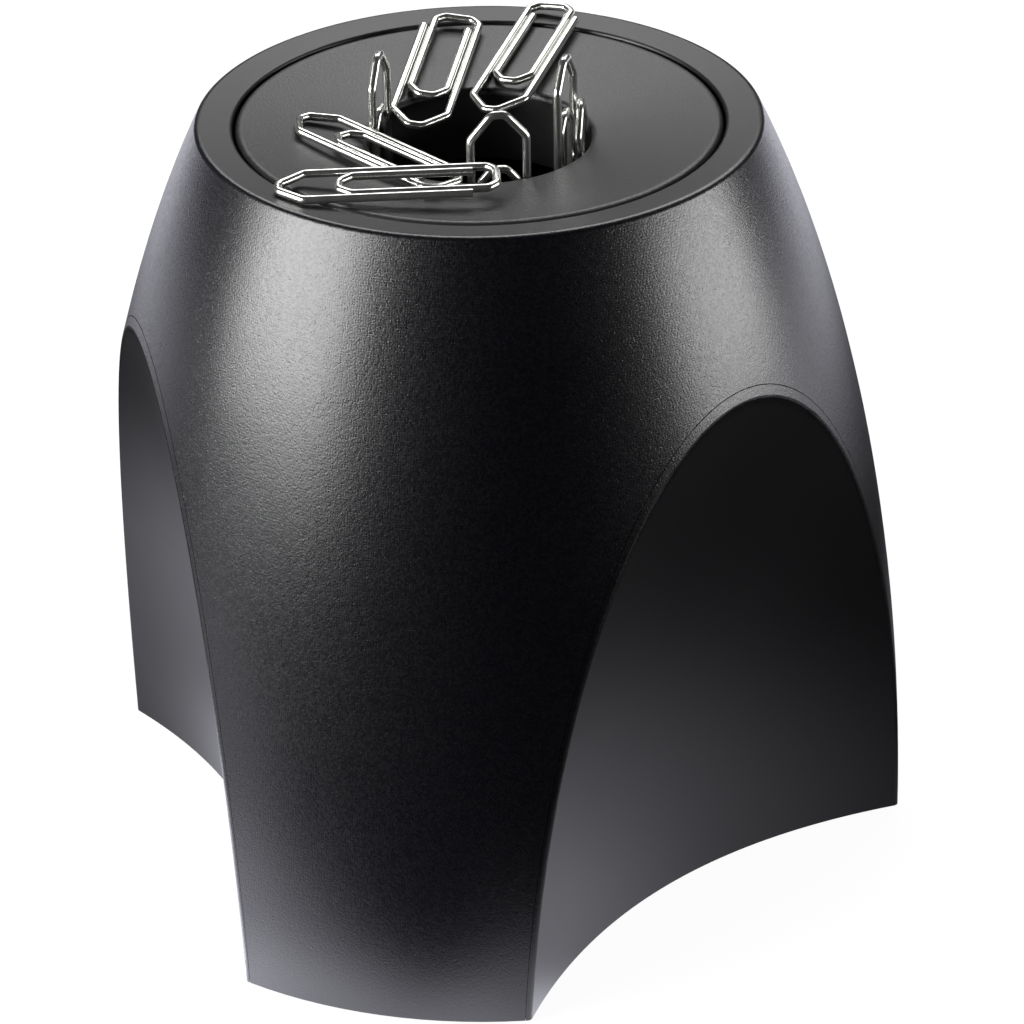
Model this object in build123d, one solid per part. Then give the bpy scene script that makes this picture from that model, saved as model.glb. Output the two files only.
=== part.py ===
from build123d import *
import os
from math import asin, ceil, cos, hypot, radians, sin, sqrt, tan

# Magnetic paper clip holder: a three-legged dome with three hollow side panels, a cup inside for loose
# clips, a dished lid with a round throat, a ring magnet under the lid, and clips that the magnet holds.
# Millimetres, +Z up, the dome's axis on Z, the table at Z = 0, one leg pointing to -Y.

# Dome
foot_standout = 0.4
body_height = 93.8
base_radius = 51.3
rim_radius = 33.45
rim_fall = 0.45
rim_edge_round = 0.7
mouth_edge_round = 0.4
dome_spans = 6
shell_wall = 2.2
leg_count = 3
front_leg_angle = -90.0

# Hollow side panels: each is part of a cone that leans out and opens upward
panel_depth = 20.3
panel_lean = 9.0
panel_radius = 65.7
panel_flare = 39.4
panel_lip = 0.6
arch_round = 0.7
cone_start = 0.8
seam = 0.05

# Cup inside the dome
cup_wall = 1.8
cup_fit = 0.2
cup_overlap = 3.0
snap_height = 2.4
snap_depth = 0.5
snap_drop = 3.0
plate_thickness = 2.2
plate_fit = 0.15

# Mouth of the dome and the ledge that carries the lid
rim_width = 4.3
collar_wall = 1.6
ledge_depth = 6.2
ledge_width = 3.2
ledge_thickness = 2.0

# Lid
lid_edge_round = 0.8
lid_drop = 0.05
dish_depth = 2.5
lid_fit = 0.3
lid_skirt_wall = 2.0
lid_plate = 1.8
throat_radius = 13.25
throat_wall = 1.6
throat_lip_round = 0.8

# Ring magnet and the cup that holds it
magnet_height = 5.0
magnet_fit = 0.25
retainer_plate = 1.4
retainer_wall = 1.2
retainer_fit = 0.08
retainer_room = 1.2
bead_depth = 0.3
bead_height = 0.9

# Feet
foot_radius = 4.5
foot_inset = 10.8
foot_recess = 0.9
foot_fit = 0.1
foot_round = 0.15

# Paper clips
clip_length = 26.0
clip_width = 7.6
wire = 1.0
clip_bend = 1.0
clip_gap = 0.1
inner_leg = 2.2
inner_loop_end = 18.6
point_taper = 2.9
point_flat = 1.6
blunt_taper = 1.0
blunt_flat = 3.4
inner_taper = 1.5
inner_flat = 1.8
outer_tail = 3.3
inner_tail = 3.2

# Where the clips are: how far those standing in the throat rise above the lid's lip, how far the pointed
# ends of those at the back reach over the throat, and how far those of the front ones are from the shoulder
# where the lid's edge starts to round off
wall_left_rise = 9.5
wall_right_rise = 11.3
wall_right_low_rise = 4.9
wall_front_rise = 8.3
layer_pitch = 1.45
back_left_reach = 4.87
back_right_reach = 6.59
front_under_margin = 6.79
front_over_overhang = 2.91
rest_step = 0.25
rest_feel = 0.3

# Heights and radii that follow
base_z = foot_standout
top_z = base_z + body_height
dome_rise = body_height / sqrt(1 - (rim_radius / base_radius) ** 2)
panel_distance = base_radius - panel_depth
foot_circle = base_radius - foot_inset
leg_angles = [front_leg_angle + 360 / leg_count * i for i in range(leg_count)]
panel_angles = [angle + 180 / leg_count for angle in leg_angles]
seam_angle = leg_angles[-1]

mouth_radius = rim_radius - rim_width
mouth_z = top_z - rim_fall
ledge_z = top_z - ledge_depth
ledge_radius = mouth_radius - ledge_width
collar_bottom = ledge_z - ledge_thickness
collar_radius = mouth_radius + collar_wall

cup_inset = shell_wall + cup_fit
cup_top = collar_bottom + cup_overlap
floor_z = base_z + plate_thickness
snap_z = collar_bottom - snap_drop

lid_radius = mouth_radius - lid_fit
lid_shoulder = lid_radius - lid_edge_round
lip_z = top_z - dish_depth
lid_shoulder_z = mouth_z - lid_drop
skirt_radius = lid_radius - lid_skirt_wall
magnet_top = lip_z - lid_plate
magnet_bottom = magnet_top - magnet_height
throat_outer = throat_radius + throat_wall
magnet_inner = throat_outer + magnet_fit
retainer_outer = ledge_radius - retainer_room
retainer_inner = retainer_outer - retainer_wall
magnet_outer = retainer_inner - magnet_fit
retainer_bottom = magnet_bottom - retainer_plate
throat_bottom = retainer_bottom - bead_height

on_base = (Align.CENTER, Align.CENTER, Align.MIN)
clip_half = (clip_width - wire) / 2
point_end = clip_length - wire / 2
blunt_end = wire / 2

# Clips in the throat: name, bearing round the axis, rise above the lip, layers from the wall
standing_clips = [
    ("clip_wall_left", 181.2, wall_left_rise, 0),
    ("clip_wall_right", -2.0, wall_right_rise, 1),
    ("clip_wall_right_low", 8.0, wall_right_low_rise, 0),
    ("clip_wall_front", -64.0, wall_front_rise, 0),
]

# Clips on the lid: name, radius and bearing of the pointed end, its heading, rise along the clip, tilt
# across it, turned over or not, and the clips that it passes over
over_edge = lid_shoulder + front_over_overhang
lying_clips = [
    ("clip_back_left", throat_radius - back_left_reach, 172.3, -85.6, -7.8, -5.0, True, []),
    ("clip_back_right", throat_radius - back_right_reach, 94.6, -94.2, -7.5, 3.3, False, []),
    ("clip_front_under", lid_shoulder - front_under_margin, -170.9, 149.8, 1.6, 5.4, True, []),
    ("clip_front_over", over_edge, -124.1, 196.7, -0.9, -1.9, False, ["clip_front_under"]),
]


def dome_axes(inset):
    return base_radius - inset, dome_rise - inset


def dome_radius(z, inset=0.0):
    across, rise = dome_axes(inset)
    return across * sqrt(1 - ((z - base_z) / rise) ** 2)


def dome_arc(inset, low, high):
    """Side of the dome as a curve through points of its ellipse."""
    across, rise = dome_axes(inset)
    start = asin((low - base_z) / rise)
    end = asin((high - base_z) / rise)
    angles = [start + (end - start) * i / dome_spans for i in range(dome_spans + 1)]
    points = [(across * cos(t), base_z + rise * sin(t)) for t in angles]
    ends = [(-across * sin(t), rise * cos(t)) for t in (start, end)]
    return Spline(*points, tangents=ends)


def turned(edges):
    """Solid of revolution about Z from a closed outline in radius and height."""
    return Rot(0, 0, seam_angle) * revolve(Plane.XZ * make_face(edges), Axis.Z)


def turned_outline(points):
    return turned(Polyline(*points, close=True))


def circles(shape):
    return shape.edges().filter_by(GeomType.CIRCLE)


def ring(inner, outer, low, high):
    return turned_outline([(inner, low), (outer, low), (outer, high), (inner, high)])


def dome(inset, low, high):
    side = dome_arc(inset, low, high)
    return turned([side, Polyline(side @ 1, (0, high), (0, low), side @ 0)])


def hollows(inset):
    """The cones that cut the side panels, each moved towards the axis by the inset."""
    lean = radians(panel_lean)
    flare = radians(panel_flare)
    slant = panel_radius / tan(flare)
    reach = inset / sin(flare)
    along = Vector(sin(lean + flare), 0, cos(lean + flare))
    apex = Vector(panel_distance - slant * sin(lean), 0, base_z - slant * cos(lean)) - along * reach
    near = slant * cos(flare) * cone_start
    far = (slant + body_height) * cos(flare) + reach
    cone = Cone(near * tan(flare), far * tan(flare), far - near, align=on_base)
    placed = Plane(apex + along * near, x_dir=(0, 1, 0), z_dir=along) * cone
    return [Rot(0, 0, angle) * placed for angle in panel_angles]


def snap_ring(inset, depth, height):
    """Wedge-shaped ring on the dome's inner side: a bead on the cup, or its groove in the shell."""
    low = snap_z - height / 2
    high = snap_z + height / 2
    inner = dome_radius(high, inset) - depth
    crest = dome_radius(snap_z, inset) + depth
    outline = [(inner, low), (dome_radius(low, inset), low), (crest, snap_z)]
    outline += [(dome_radius(high, inset), high), (inner, high)]
    return turned_outline(outline)


def body_shell():
    outside = dome_arc(0, base_z, top_z)
    inside = dome_arc(shell_wall, base_z, top_z - shell_wall)
    mouth = Polyline(
        outside @ 1,
        (mouth_radius, mouth_z),
        (mouth_radius, ledge_z),
        (ledge_radius, ledge_z),
        (ledge_radius, collar_bottom),
        (collar_radius, collar_bottom),
        (collar_radius, top_z - shell_wall),
        inside @ 1,
    )
    foot = Line(inside @ 0, outside @ 0)
    shell = turned([outside, mouth, inside, foot])
    shell = fillet(circles(shell).sort_by(Axis.Z)[-2], mouth_edge_round)
    shell = fillet(circles(shell).sort_by(Axis.Z)[-1], rim_edge_round)
    shell -= snap_ring(shell_wall, snap_depth, snap_height)
    return shell - hollows(panel_lip + seam)


def clip_cup():
    block = dome(0, base_z, cup_top) - hollows(0)
    arches = block.edges().filter_by(GeomType.BSPLINE).sort_by(SortBy.LENGTH)[-leg_count:]
    room = dome(-shell_wall, base_z, cup_top) - dome(cup_inset, base_z, cup_top)
    room -= hollows(panel_lip)
    outside = fillet(arches, arch_round) - room
    outside += snap_ring(cup_inset, snap_depth, snap_height - 2 * seam)
    return outside - (dome(cup_inset + cup_wall, base_z, cup_top) - hollows(cup_wall))


def base_plate():
    plate = dome(cup_inset + cup_wall + plate_fit, base_z, floor_z) - hollows(cup_wall + plate_fit)
    recess = Pos(foot_circle, 0, base_z) * Cylinder(foot_radius + foot_fit, foot_recess, align=on_base)
    return plate - [Rot(0, 0, angle) * recess for angle in leg_angles]


def foot(angle):
    pad = Cylinder(foot_radius, foot_standout + foot_recess, align=on_base)
    pad = fillet(pad.edges().group_by(Axis.Z)[0], foot_round)
    return Rot(0, 0, angle) * Pos(foot_circle, 0, 0) * pad


def dish_height(radius):
    slope = (lid_shoulder_z - lip_z) / (lid_shoulder - throat_radius)
    return lip_z + (radius - throat_radius) * slope


def lid():
    outline = [
        (throat_radius, throat_bottom),
        (throat_radius, lip_z),
        (lid_radius, dish_height(lid_radius)),
        (lid_radius, ledge_z),
        (skirt_radius, ledge_z),
        (skirt_radius, magnet_top),
        (throat_outer, magnet_top),
        (throat_outer, retainer_bottom),
        (throat_outer + bead_depth, retainer_bottom),
        (throat_outer, throat_bottom),
    ]
    plate = turned_outline(outline)
    outer = circles(plate).group_by(SortBy.RADIUS)[-1]
    plate = fillet(outer.sort_by(Axis.Z)[-1], lid_edge_round)
    throat = circles(plate).group_by(SortBy.RADIUS)[0]
    return fillet(throat.sort_by(Axis.Z)[-1], throat_lip_round)


def ring_magnet():
    return ring(magnet_inner, magnet_outer, magnet_bottom, magnet_top)


def magnet_retainer():
    return turned_outline(
        [
            (throat_outer + retainer_fit, retainer_bottom),
            (retainer_outer, retainer_bottom),
            (retainer_outer, magnet_top),
            (retainer_inner, magnet_top),
            (retainer_inner, magnet_bottom),
            (throat_outer + retainer_fit, magnet_bottom),
        ]
    )


def clip_corners():
    """Corners of the wire's centre line, from the outer tail round three ends to the inner tail."""
    blunt_middle = (inner_leg - clip_half) / 2
    return [
        (outer_tail, clip_half),
        (point_end - point_taper, clip_half),
        (point_end, point_flat / 2),
        (point_end, -point_flat / 2),
        (point_end - point_taper, -clip_half),
        (blunt_end + blunt_taper, -clip_half),
        (blunt_end, blunt_middle - blunt_flat / 2),
        (blunt_end, blunt_middle + blunt_flat / 2),
        (blunt_end + blunt_taper, inner_leg),
        (inner_loop_end - inner_taper, inner_leg),
        (inner_loop_end, inner_flat / 2),
        (inner_loop_end, -inner_flat / 2),
        (inner_loop_end - inner_taper, -inner_leg),
        (inner_tail, -inner_leg),
    ]


def clip_solid():
    path = FilletPolyline(*clip_corners(), radius=clip_bend)
    section = Plane(path @ 0, z_dir=path % 0) * Circle(wire / 2)
    return sweep(section, path)


def wire_points():
    """Points along the wire's corners, close enough to feel for what lies under it."""
    points = []
    corners = clip_corners()
    for (u0, v0), (u1, v1) in zip(corners, corners[1:]):
        count = ceil(hypot(u1 - u0, v1 - v0) / rest_step)
        points += [(u0 + (u1 - u0) * i / count, v0 + (v1 - v0) * i / count) for i in range(count + 1)]
    return points


def clip_plane(x, y, z, heading, rise, tilt, turned_over):
    """Plane of a lying clip, with its pointed end at x, y, z."""
    forward = Vector(cos(radians(heading)), sin(radians(heading)), 0)
    across = Vector(-forward.Y, forward.X, 0)
    slope = forward * tan(radians(rise)) + across * tan(radians(tilt))
    along = Vector(forward.X, forward.Y, tan(radians(rise))).normalized()
    normal = Vector(-slope.X, -slope.Y, 1).normalized()
    if turned_over:
        normal = normal * -1
    return Plane(Vector(x, y, z) - along * clip_length, x_dir=along, z_dir=normal)


def support_height(radius):
    """Height of the lid or the rim at a radius, or None over the throat and the lid's rounded edge."""
    if throat_radius < radius < lid_shoulder:
        return dish_height(radius)
    if mouth_radius < radius < rim_radius:
        return top_z - rim_fall * (rim_radius - radius) / rim_width
    return None


def rest_lift(points, below):
    """How far points of a wire at height 0 rise until the wire clears what lies under it."""
    lift = -top_z
    for point in points:
        for shift in (-rest_feel, 0, rest_feel):
            height = support_height(hypot(point.X, point.Y) + shift)
            if height is not None:
                reach = sqrt((wire / 2) ** 2 - shift**2)
                lift = max(lift, height + reach + clip_gap - point.Z)
        for other in below:
            gap = hypot(point.X - other.X, point.Y - other.Y)
            if gap < wire + clip_gap:
                lift = max(lift, other.Z + sqrt((wire + clip_gap) ** 2 - gap**2) - point.Z)
    return lift


def clip_planes():
    """Where each clip is: against the throat's wall, or lowered onto the lid, the rim or other clips."""
    planes = {}
    wires = {}
    wall_distance = sqrt(throat_radius**2 - (clip_width / 2) ** 2) - wire / 2 - clip_gap
    for name, bearing, rise, layer in standing_clips:
        outward = Vector(cos(radians(bearing)), sin(radians(bearing)), 0)
        place = outward * (wall_distance - layer * layer_pitch)
        low_end = Vector(0, 0, lip_z + rise - clip_length)
        planes[name] = Plane(place + low_end, x_dir=(0, 0, 1), z_dir=outward)
    for name, radius, bearing, heading, rise, tilt, turned_over, passes_over in lying_clips:
        x = radius * cos(radians(bearing))
        y = radius * sin(radians(bearing))
        level = clip_plane(x, y, 0, heading, rise, tilt, turned_over)
        points = [level.from_local_coords(Vector(u, v, 0)) for u, v in wire_points()]
        lift = rest_lift(points, [point for other in passes_over for point in wires[other]])
        wires[name] = [point + Vector(0, 0, lift) for point in points]
        planes[name] = clip_plane(x, y, lift, heading, rise, tilt, turned_over)
    return planes


def clips():
    bent = clip_solid()
    return {name: plane.location * bent for name, plane in clip_planes().items()}


def leg_name(angle):
    side = sin(radians(angle - front_leg_angle))
    return "foot_front" if abs(side) < 0.01 else "foot_right" if side > 0 else "foot_left"


nodes = {
    "body_shell": body_shell(),
    "clip_cup": clip_cup(),
    "base_plate": base_plate(),
    "lid": lid(),
    "ring_magnet": ring_magnet(),
    "magnet_retainer": magnet_retainer(),
    **{leg_name(angle): foot(angle) for angle in leg_angles},
    **clips(),
}

os.makedirs("parts", exist_ok=True)
for name, shape in nodes.items():
    export_step(shape, f"parts/{name}.step")
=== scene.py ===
import bpy
import math
from mathutils import Matrix, Vector

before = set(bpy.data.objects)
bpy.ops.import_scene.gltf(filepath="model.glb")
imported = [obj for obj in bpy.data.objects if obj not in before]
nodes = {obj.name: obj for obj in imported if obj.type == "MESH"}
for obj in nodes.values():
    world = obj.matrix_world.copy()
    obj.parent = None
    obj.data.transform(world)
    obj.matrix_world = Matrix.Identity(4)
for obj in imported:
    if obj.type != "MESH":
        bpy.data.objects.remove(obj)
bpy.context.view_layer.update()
mm = 0.001
print("loaded", len(nodes), "solids")


# one shader socket; sums on it add Math nodes, and add() makes any other node
class Lead:
    def __init__(self, tree, socket=None):
        self.tree = tree
        self.socket = socket

    def add(self, kind, settings=None, sockets=None, out=0):
        node = self.tree.nodes.new(kind)
        for name, value in (settings or {}).items():
            setattr(node, name, value)
        for name, value in (sockets or {}).items():
            if isinstance(value, Lead):
                self.tree.links.new(value.socket, node.inputs[name])
            else:
                node.inputs[name].default_value = value
        return Lead(self.tree, node.outputs[out] if len(node.outputs) else None)

    def maths(self, operation, a, b):
        return self.add("ShaderNodeMath", {"operation": operation}, {0: a, 1: b})

    def __add__(self, other):
        return self.maths("ADD", self, other)

    def __radd__(self, other):
        return self.maths("ADD", other, self)

    def __sub__(self, other):
        return self.maths("SUBTRACT", self, other)

    def __rsub__(self, other):
        return self.maths("SUBTRACT", other, self)

    def __mul__(self, other):
        return self.maths("MULTIPLY", self, other)

    def __rmul__(self, other):
        return self.maths("MULTIPLY", other, self)

    def noise(self, place, grain, detail=2.0):
        return self.add("ShaderNodeTexNoise", None, {
            "Vector": place, "Scale": 1 / (grain * mm), "Detail": detail})

    def ramp(self, value, start, end, low, high):
        return self.add("ShaderNodeMapRange", {"interpolation_type": "SMOOTHSTEP"}, {
            "Value": value, "From Min": start, "From Max": end, "To Min": low, "To Max": high})

    def tint(self, amount, dark, light):
        return self.add("ShaderNodeMix", {"data_type": "RGBA"}, {
            0: amount, 6: (*dark, 1), 7: (*light, 1)}, 2)

    def lengthOf(self, vector):
        return self.add("ShaderNodeVectorMath", {"operation": "LENGTH"}, {0: vector}, 1)

    def minus(self, vector, other):
        return self.add("ShaderNodeVectorMath", {"operation": "SUBTRACT"}, {0: vector, 1: other})

    # a place measured from a centre, in steps of the given size
    def within(self, place, centre, size):
        return self.add("ShaderNodeMapping", {"vector_type": "TEXTURE"}, {
            "Vector": place, "Location": centre, "Scale": size})

    # one colour at a strength that varies
    def shine(self, colour, strength):
        return self.add("ShaderNodeVectorMath", {"operation": "SCALE"}, {0: colour, "Scale": strength})


def newMaterial(name):
    material = bpy.data.materials.new(name)
    material.use_nodes = True
    material.node_tree.nodes.clear()
    return material, Lead(material.node_tree)


def closeMaterial(tree, shader):
    tree.add("ShaderNodeOutputMaterial", None, {"Surface": shader})


# stipple of the mould, only on the dome's outer face: each small cell is a facet with its own lean and gloss
stippleLook = {"cell": 0.3, "lean": 0.075, "pit": 0.22, "pitDetail": 1.0, "depth": 0.01,
               "rough": 0.32, "roughSwing": 0.07,
               "low": (0, 0, 0.4 * mm), "axes": (51.3 * mm, 51.3 * mm, 123.7 * mm),  # the dome's ellipse
               "edge": (0.99, 0.996)}  # shares of the ellipse where the stipple starts


def stipple(tree, place, look):
    reach = tree.lengthOf(tree.within(place, look["low"], look["axes"]))
    outside = tree.ramp(reach, *look["edge"], 0.0, 1.0)
    cells = {"Vector": place, "Scale": 1 / (look["cell"] * mm)}
    chance = tree.add("ShaderNodeTexVoronoi", None, cells, "Color")
    middle = tree.add("ShaderNodeTexVoronoi", None, cells, "Position")
    facet = tree.add("ShaderNodeVectorMath", {"operation": "DOT_PRODUCT"}, {
        0: tree.minus(place, middle), 1: tree.minus(chance, (0.5, 0.5, 0.5))}, 1)
    pits = tree.noise(place, look["pit"], look["pitDetail"])
    speck = tree.add("ShaderNodeSeparateColor", None, {0: chance})
    rough = look["rough"] + (speck - 0.5) * look["roughSwing"]
    return outside, rough, facet * (look["lean"] / mm) + pits * look["depth"]


# black moulded plastic, plain or with the dome's stipple, a little cloudy where it is handled
handledLook = {"cloud": 22.0, "detail": 3.0, "share": 0.4, "roughSwing": 0.06}


def plasticMaterial(look):
    material, tree = newMaterial(look["name"])
    place = tree.add("ShaderNodeTexCoord", out=3)
    grain = tree.noise(place, look["grain"])
    handled = tree.noise(place, handledLook["cloud"], handledLook["detail"])
    share = handledLook["share"]
    colour = tree.tint(grain * (1 - share) + handled * share, look["dark"], look["light"])
    rough = look["rough"] + (grain - 0.5) * look["roughSwing"]
    relief = grain * look["depth"]
    if look["stippled"]:
        outside, cellRough, cellRelief = stipple(tree, place, stippleLook)
        rough = rough + (cellRough - rough) * outside
        relief = relief + (cellRelief - relief) * outside
    rough = rough + (handled - 0.5) * handledLook["roughSwing"]
    # relief is in mm, and a filter a whole pixel wide keeps the cells' edges from glinting
    bump = tree.add("ShaderNodeBump", None, {
        "Strength": look["bump"], "Distance": mm, "Filter Width": 1.0, "Height": relief})
    closeMaterial(tree, tree.add("ShaderNodeBsdfPrincipled", None, {
        "Base Color": colour, "Roughness": rough, "IOR": 1.5, "Normal": bump}))
    return material


shellLook = {"name": "grainedShell", "stippled": True, "grain": 0.13, "rough": 0.42, "roughSwing": 0.1,
             "dark": (0.0004, 0.0004, 0.0012), "light": (0.0012, 0.0012, 0.003), "bump": 0.8, "depth": 0.02}
panelLook = {"name": "satinCup", "stippled": True, "grain": 0.14, "rough": 0.36, "roughSwing": 0.06,
             "dark": (0.0004, 0.0004, 0.0008), "light": (0.001, 0.001, 0.0018), "bump": 0.8, "depth": 0.006}
lidLook = {"name": "matteLid", "stippled": False, "grain": 0.27, "rough": 0.44, "roughSwing": 0.2,
           "dark": (0.005, 0.005, 0.0055), "light": (0.012, 0.012, 0.013), "bump": 0.8, "depth": 0.06}
rubberLook = {"name": "footRubber", "stippled": False, "grain": 0.25, "rough": 0.75, "roughSwing": 0.1,
              "dark": (0.012, 0.012, 0.012), "light": (0.022, 0.022, 0.022), "bump": 0.6, "depth": 0.04}
ferriteLook = {"name": "groundFerrite", "stippled": False, "grain": 0.22, "rough": 0.55, "roughSwing": 0.2,
               "dark": (0.03, 0.03, 0.032), "light": (0.07, 0.07, 0.073), "bump": 0.6, "depth": 0.04}


# bright drawn wire with a thin zinc coat, a little cloudy
wireLook = {"name": "drawnWire", "dark": (0.54, 0.54, 0.52), "light": (0.7, 0.7, 0.67), "metal": 0.95,
            "rough": 0.22, "cloud": 1.6, "cloudDetail": 3.0, "cloudRough": 0.1,
            "nick": 0.09, "nickRough": 0.04, "bump": 0.1, "depth": 0.004}


def wireMaterial(look):
    material, tree = newMaterial(look["name"])
    place = tree.add("ShaderNodeTexCoord", out=3)
    cloud = tree.noise(place, look["cloud"], look["cloudDetail"])
    nicks = tree.noise(place, look["nick"])
    colour = tree.tint(cloud, look["dark"], look["light"])
    rough = look["rough"] + (cloud - 0.5) * look["cloudRough"] + (nicks - 0.5) * look["nickRough"]
    bump = tree.add("ShaderNodeBump", None, {
        "Strength": look["bump"], "Distance": look["depth"] * mm, "Height": nicks})
    closeMaterial(tree, tree.add("ShaderNodeBsdfPrincipled", None, {
        "Base Color": colour, "Metallic": look["metal"], "Roughness": rough, "Normal": bump}))
    return material


def dress(material, names):
    for name in names:
        slots = nodes[name].data.materials
        slots.clear()
        slots.append(material)


clipNames = [name for name in nodes if name.startswith("clip_") and name != "clip_cup"]
footNames = [name for name in nodes if name.startswith("foot_")]
dress(plasticMaterial(shellLook), ["body_shell"])
dress(plasticMaterial(panelLook), ["clip_cup", "base_plate", "magnet_retainer"])
dress(plasticMaterial(lidLook), ["lid"])
dress(plasticMaterial(rubberLook), footNames)
dress(plasticMaterial(ferriteLook), ["ring_magnet"])
dress(wireMaterial(wireLook), clipNames)
print("materials made,", len(clipNames), "clips")

# floor: white to the camera, and in reflections a dim table with painted pools of light and a painted glow on
# its far part, emission that stands in for light
floorLook = {"size": 6.0, "drop": 0.03 * mm,  # just clear of the feet
             "colour": (0.014, 0.014, 0.014), "paper": (0.8, 0.8, 0.8), "share": 0.9, "glow": 1.06,
             "farStart": 0.16, "farEnd": 0.34, "paintedFarGlow": 1.9,
             "fadeStart": 0.4, "fadeEnd": 0.8, "fadeTo": 0.1,
             "sideStart": -0.15, "sideEnd": 0.12, "tone": (0.97, 0.97, 1.08)}
# painted pools of light: emission patches on the floor, seen only in reflections on the object
paintedPoolLooks = [
    {"place": (-0.045, -0.042, 0), "size": (0.055, 0.055, 1), "core": 0.17, "glow": 3.4},  # left of the leg
    {"place": (-0.15, -0.094, 0), "size": (0.12, 0.04, 1), "core": 0.4, "glow": 1.5},
    {"place": (-0.075, 0.008, 0), "size": (0.065, 0.065, 1), "core": 0.2, "glow": 0.6},
    {"place": (-0.008, -0.045, 0), "size": (0.034, 0.026, 1), "core": 0.3, "glow": 2.8},  # before the leg
    {"place": (0.019, -0.054, 0), "size": (0.019, 0.018, 1), "core": 0.2, "glow": 1.4},
    {"place": (0.03, -0.022, 0), "size": (0.06, 0.06, 1), "core": 0.2, "glow": 0.55},  # under the right panel
    {"place": (0.028, -0.03, 0), "size": (0.026, 0.026, 1), "core": 0.2, "glow": 0.25},
    {"place": (0, 0.055, 0), "size": (0.07, 0.06, 1), "core": 0.2, "glow": 0.7},  # under the back panel
]


def makeFloor(look, paintedPools):
    bpy.ops.object.select_all(action="DESELECT")
    bpy.ops.mesh.primitive_plane_add(size=look["size"], location=(0, 0, -look["drop"]))
    floor = bpy.context.object
    floor.name = "studioFloor"
    material, tree = newMaterial("paleFloor")
    place = tree.add("ShaderNodeTexCoord", out=3)
    behind = tree.add("ShaderNodeSeparateXYZ", None, {0: place}, 1)
    fromAxis = tree.lengthOf(place)
    # painted glow: emission on the floor's far part behind the object, fading further out, a stand-in for
    # light in reflections
    paintedLight = tree.ramp(fromAxis, look["farStart"], look["farEnd"], 0.0, look["paintedFarGlow"])
    paintedLight = paintedLight * tree.ramp(fromAxis, look["fadeStart"], look["fadeEnd"], 1.0, look["fadeTo"])
    paintedLight = paintedLight * tree.ramp(behind, look["sideStart"], look["sideEnd"], 0.0, 1.0)
    # painted pools of light added as emission
    for paintedPool in paintedPools:
        away = tree.lengthOf(tree.within(place, paintedPool["place"], paintedPool["size"]))
        paintedLight = paintedLight + tree.ramp(away, paintedPool["core"], 1.0, paintedPool["glow"], 0.0)
    # the dim table seen in reflections: a matte floor plus the painted light as emission
    matte = tree.add("ShaderNodeBsdfDiffuse", None, {"Color": (*look["colour"], 1)})
    paintedPoolGlow = tree.add("ShaderNodeEmission", None, {"Color": tree.shine(look["tone"], paintedLight), "Strength": 1.0})
    tableWithPaintedLight = tree.add("ShaderNodeAddShader", None, {0: matte, 1: paintedPoolGlow})
    paper = tree.add("ShaderNodeBsdfDiffuse", None, {"Color": (*look["paper"], 1)})
    glow = tree.add("ShaderNodeEmission", None, {"Strength": look["glow"]})
    white = tree.add("ShaderNodeMixShader", None, {0: look["share"], 1: paper, 2: glow})
    seen = tree.add("ShaderNodeLightPath")  # is camera ray
    closeMaterial(tree, tree.add("ShaderNodeMixShader", None, {0: seen, 1: tableWithPaintedLight, 2: white}))
    floor.data.materials.append(material)


makeFloor(floorLook, paintedPoolLooks)

# world: dark behind the camera, paler behind the object
worldLook = {"front": 0.01, "back": 0.07, "start": 0.0, "end": 0.6, "tone": (0.985, 0.985, 1.03)}


def makeWorld(look):
    world = bpy.data.worlds.new("studio")
    bpy.context.scene.world = world
    world.use_nodes = True
    world.node_tree.nodes.clear()
    tree = Lead(world.node_tree)
    place = tree.add("ShaderNodeTexCoord")
    behind = tree.add("ShaderNodeSeparateXYZ", None, {0: place}, 1)
    shade = tree.ramp(behind, look["start"], look["end"], look["front"], look["back"])
    back = tree.add("ShaderNodeBackground", None, {"Color": tree.shine(look["tone"], shade), "Strength": 1.0})
    tree.add("ShaderNodeOutputWorld", None, {"Surface": back})


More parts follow.
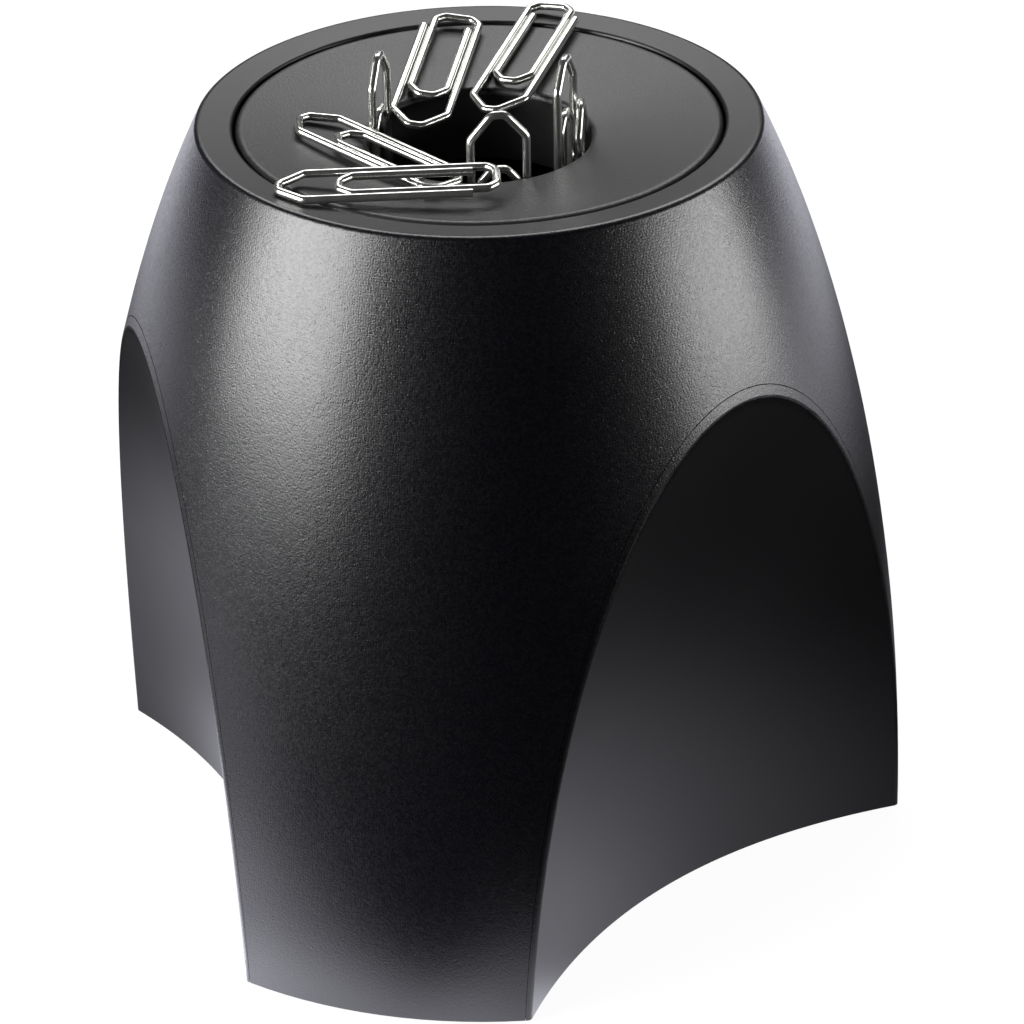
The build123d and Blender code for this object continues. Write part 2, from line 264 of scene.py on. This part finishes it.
makeWorld(worldLook)

lampLooks = [
    {"name": "softboxLeft", "place": (-0.584, -0.464, 0.3), "aim": (0, 0, 0.07),
     "size": (0.6, 0.48), "watts": 14.6},
    {"name": "softboxRight", "place": (0.72, 0.13, 0.15), "aim": (0, 0, 0.07),
     "size": (0.5, 0.28), "watts": 4.5},
    {"name": "softboxBack", "place": (-0.1, 0.65, 0.75), "aim": (0, 0, 0.09),
     "size": (0.9, 0.42), "watts": 6.3},
]


def makeLamp(look):
    place = Vector(look["place"])
    bpy.ops.object.light_add(type="AREA", location=place)
    lamp = bpy.context.object
    lamp.name = look["name"]
    lamp.data.shape = "RECTANGLE"
    lamp.data.size, lamp.data.size_y = look["size"]
    lamp.data.energy = look["watts"]
    lamp.rotation_euler = (Vector(look["aim"]) - place).to_track_quat("-Z", "Y").to_euler()


for lampLook in lampLooks:
    makeLamp(lampLook)
print("floor, world and", len(lampLooks), "lamps made")

# camera at the photograph's angle
shot = {"azimuth": 15.301, "elevation": 28.69, "roll": -0.991, "distance": 0.609519,
        "lens": 174.1, "sensor": 36, "nearest": 0.01, "aside": 0.003085, "height": 0.040816}


def makeCamera(look):
    turn, rise, roll = (math.radians(look[key]) for key in ("azimuth", "elevation", "roll"))
    back = Vector((math.sin(turn) * math.cos(rise), -math.cos(turn) * math.cos(rise), math.sin(rise)))
    right = Vector((math.cos(turn), math.sin(turn), 0))
    up = back.cross(right)
    sideways = right * math.cos(roll) + up * math.sin(roll)
    upright = up * math.cos(roll) - right * math.sin(roll)
    eye = right * look["aside"] + Vector((0, 0, look["height"])) + back * look["distance"]
    bpy.ops.object.camera_add()
    camera = bpy.context.object
    camera.name = "photoCamera"
    camera.data.lens = look["lens"]
    camera.data.sensor_width = look["sensor"]
    camera.data.clip_start = look["nearest"]
    camera.matrix_world = Matrix.Translation(eye) @ Matrix((sideways, upright, back)).transposed().to_4x4()
    bpy.context.scene.camera = camera


makeCamera(shot)
bpy.context.scene.view_settings.view_transform = "Standard"
print("camera set")
